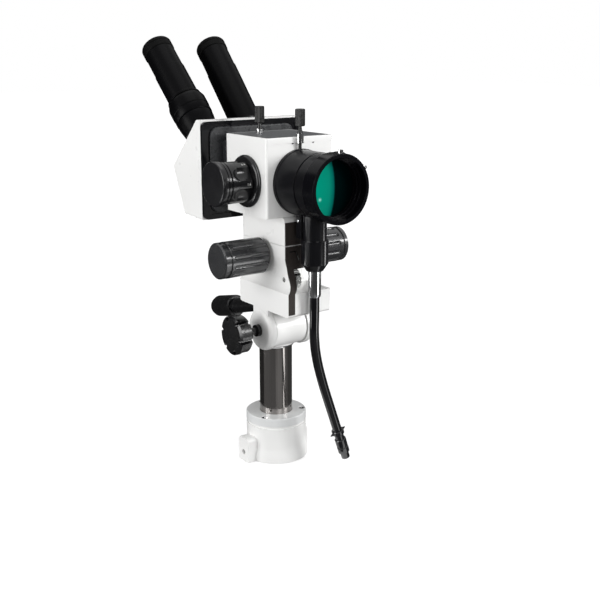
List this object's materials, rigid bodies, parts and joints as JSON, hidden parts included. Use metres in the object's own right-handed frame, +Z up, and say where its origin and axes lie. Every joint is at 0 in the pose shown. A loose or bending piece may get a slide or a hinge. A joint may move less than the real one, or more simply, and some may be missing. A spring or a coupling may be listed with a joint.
{
  "type": "colposcope head",
  "caption": "Binocular colposcope head on a swivelling, tilting post with rack focusing, magnification changer and light guide.",
  "frame": {"origin": "on the post's axis at the lower face of the stand head, where the stand's pillar enters", "axes": "+Z up along the post; the objective looks along -Y, the eyepieces point back and up along +Y; +X is the right side seen from the front"},
  "size_m": [0.1546, 0.2952, 0.4308],
  "materials": {
    "white_paint": "smooth gloss",
    "dark_paint": "fine texture",
    "black_gloss_paint": "gloss",
    "black_aluminium": "satin black",
    "polished_steel": "polished",
    "steel": "turned",
    "chrome_metal": "polished",
    "bronze": "bare",
    "fibre": "matt",
    "black_plastic": "satin",
    "black_gloss": "gloss",
    "black_rubber": "matt",
    "hose_rubber": "gloss",
    "coated_glass": "green coating",
    "clear_glass": "clear",
    "green_glass": "clear green"
  },
  "bodies": {
    "stand_head": {"stand_socket": "white_paint", "flange_ring": "white_paint", "flange_screws": "chrome_metal", "post_bush": "bronze", "socket_clamp_screws": "chrome_metal"},
    "post": {"post_tube": "polished_steel", "tilt_barrel": "white_paint", "tilt_bushes": "bronze"},
    "column": {"column_foot": "white_paint", "tilt_shaft": "steel", "friction_washers": "fibre", "handle_arm": "black_gloss", "handle_grip": "black_gloss", "focus_housing": "white_paint", "column_cover": "dark_paint", "focus_bushes": "bronze"},
    "tilt_clamp": {"tilt_knob": "black_gloss", "tilt_stud": "steel"},
    "focus_lock": {"lock_wheel": "steel"},
    "focus_drive": {"focus_shaft": "steel", "focus_pinion": "steel", "focus_knob_left": "black_plastic", "focus_knob_right": "black_plastic"},
    "optics_head": {"slider_block": "white_paint", "slider_cover": "dark_paint", "focus_rack": "bronze", "body_housing": "white_paint", "body_lid": "white_paint", "lid_plate": "dark_paint", "changer_flanges": "black_aluminium", "filter_guides": "chrome_metal", "objective_barrel": "black_aluminium", "objective_ring": "black_aluminium", "objective_lens": "coated_glass", "objective_screws": "chrome_metal", "light_port": "black_aluminium", "guide_ferrule": "chrome_metal", "light_hose": "hose_rubber", "hose_clip": "black_plastic", "hose_coupling": "black_plastic", "rear_frame": "black_gloss_paint", "frame_panel": "dark_paint", "binocular_housing": "white_paint", "binocular_prisms": "clear_glass"},
    "changer": {"changer_drum": "black_aluminium", "changer_lenses": "clear_glass", "changer_knobs": "black_plastic"},
    "filter_rear": {"filter_rod_rear": "black_aluminium", "filter_glass_rear": "green_glass"},
    "filter_front": {"filter_rod_front": "black_aluminium", "filter_glass_front": "green_glass"},
    "eyepiece_tube_left": {"tube_left": "black_aluminium"},
    "diopter": {"diopter_ring": "black_aluminium"},
    "eyepiece_slide": {"eyepiece_left": "black_aluminium", "eyecup_left": "black_rubber", "eye_lens_left": "clear_glass"},
    "eyepiece_tube_right": {"tube_right": "black_aluminium", "eyepiece_right": "black_aluminium", "eyecup_right": "black_rubber", "eye_lens_right": "clear_glass"}
  },
  "joints": [
    {"name": "post_swivel", "type": "hinge", "parent": "stand_head", "child": "post", "pos_m": [0, 0, 0.03], "axis": [0, 0, 1], "continuous": true},
    {"name": "head_tilt", "type": "hinge", "parent": "post", "child": "column", "pos_m": [0, -0.01, 0.143], "axis": [1, 0, 0], "range_deg": [-30, 15]},
    {"name": "clamp_turn", "type": "hinge", "parent": "column", "child": "tilt_clamp", "pos_m": [-0.05, -0.01, 0.143], "axis": [1, 0, 0], "range_deg": [-90, 180]},
    {"name": "lock_turn", "type": "hinge", "parent": "column", "child": "focus_lock", "pos_m": [-0.0078, -0.042, 0.2004], "axis": [1, 0, 0], "range_deg": [-90, 90]},
    {"name": "focus_slide", "type": "slide", "parent": "column", "child": "optics_head", "axis": [0, -1, 0], "range_m": [-0.001, 0.014]},
    {"name": "focus_turn", "type": "hinge", "parent": "column", "child": "focus_drive", "pos_m": [0, -0.0096, 0.2203], "axis": [1, 0, 0], "range_deg": [-15, 150]},
    {"name": "magnification_turn", "type": "hinge", "parent": "optics_head", "child": "changer", "pos_m": [0, -0.0096, 0.2947], "axis": [1, 0, 0], "continuous": true},
    {"name": "filter_rear_pull", "type": "slide", "parent": "optics_head", "child": "filter_rear", "axis": [0, 0, 1], "range_m": [0, 0.015]},
    {"name": "filter_front_pull", "type": "slide", "parent": "optics_head", "child": "filter_front", "axis": [0, 0, 1], "range_m": [0, 0.015]},
    {"name": "eyepiece_spacing_left", "type": "slide", "parent": "optics_head", "child": "eyepiece_tube_left", "axis": [1, 0, 0], "range_m": [-0.0035, 0.0065]},
    {"name": "eyepiece_spacing_right", "type": "slide", "parent": "optics_head", "child": "eyepiece_tube_right", "axis": [1, 0, 0], "range_m": [-0.0065, 0.0035]},
    {"name": "eyepiece_focus", "type": "slide", "parent": "eyepiece_tube_left", "child": "eyepiece_slide", "axis": [-0.038, 0.7066, 0.7066], "range_m": [-0.002, 0.002]},
    {"name": "diopter_turn", "type": "hinge", "parent": "eyepiece_tube_left", "child": "diopter", "pos_m": [-0.0287, 0.0787, 0.322], "axis": [-0.038, 0.7066, 0.7066], "range_deg": [-60, 60]}
  ],
  "couplings": [
    {"joint": "focus_turn", "follows": "focus_slide", "rad_per_m": 178.57},
    {"joint": "eyepiece_spacing_right", "follows": "eyepiece_spacing_left", "ratio": -1},
    {"joint": "eyepiece_focus", "follows": "diopter_turn", "m_per_rad": 0.0019099}
  ]
}
